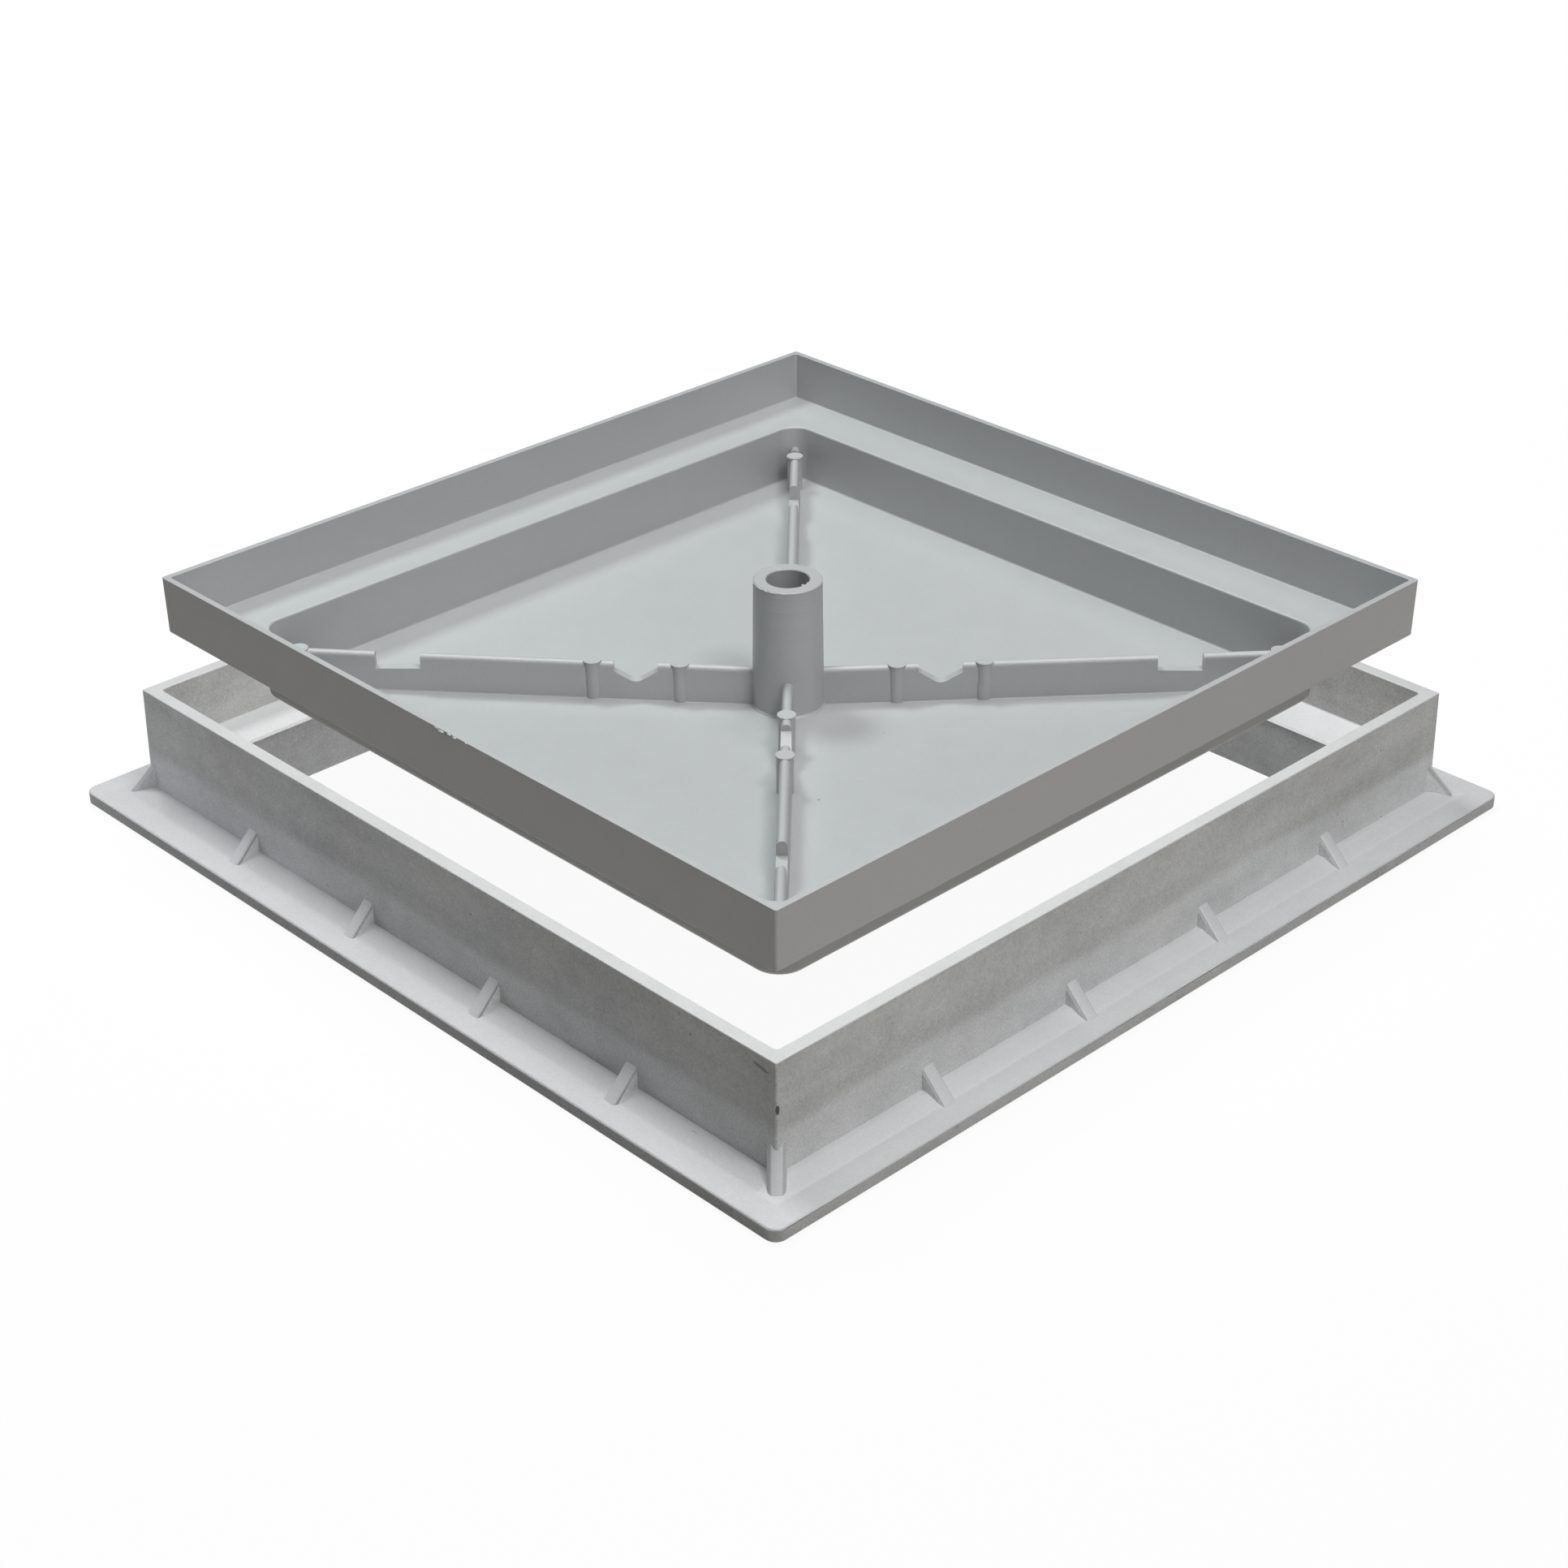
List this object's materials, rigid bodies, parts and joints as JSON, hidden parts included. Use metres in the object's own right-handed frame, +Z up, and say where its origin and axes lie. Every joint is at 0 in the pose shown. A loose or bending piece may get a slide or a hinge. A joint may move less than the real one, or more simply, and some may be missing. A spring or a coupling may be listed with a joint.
{
  "type": "recessed access cover",
  "caption": "Square recessed access cover: flanged cast frame with an inner ledge, and a lift-out ribbed infill tray with a central tube, shown raised above it.",
  "frame": {"origin": "centre of the frame's underside", "axes": "+Z up along the tube and the way the cover lifts out, X and Y square to the sides"},
  "size_m": [0.656, 0.656, 0.163],
  "materials": {
    "frame": "sand-cast, fine matte grain, mottled, with lighter machined rim",
    "cover": "sand-cast, smooth matte, with lighter rim and faced tube end"
  },
  "bodies": {
    "root": {"frame": "frame", "cover": "cover"}
  },
  "joints": []
}
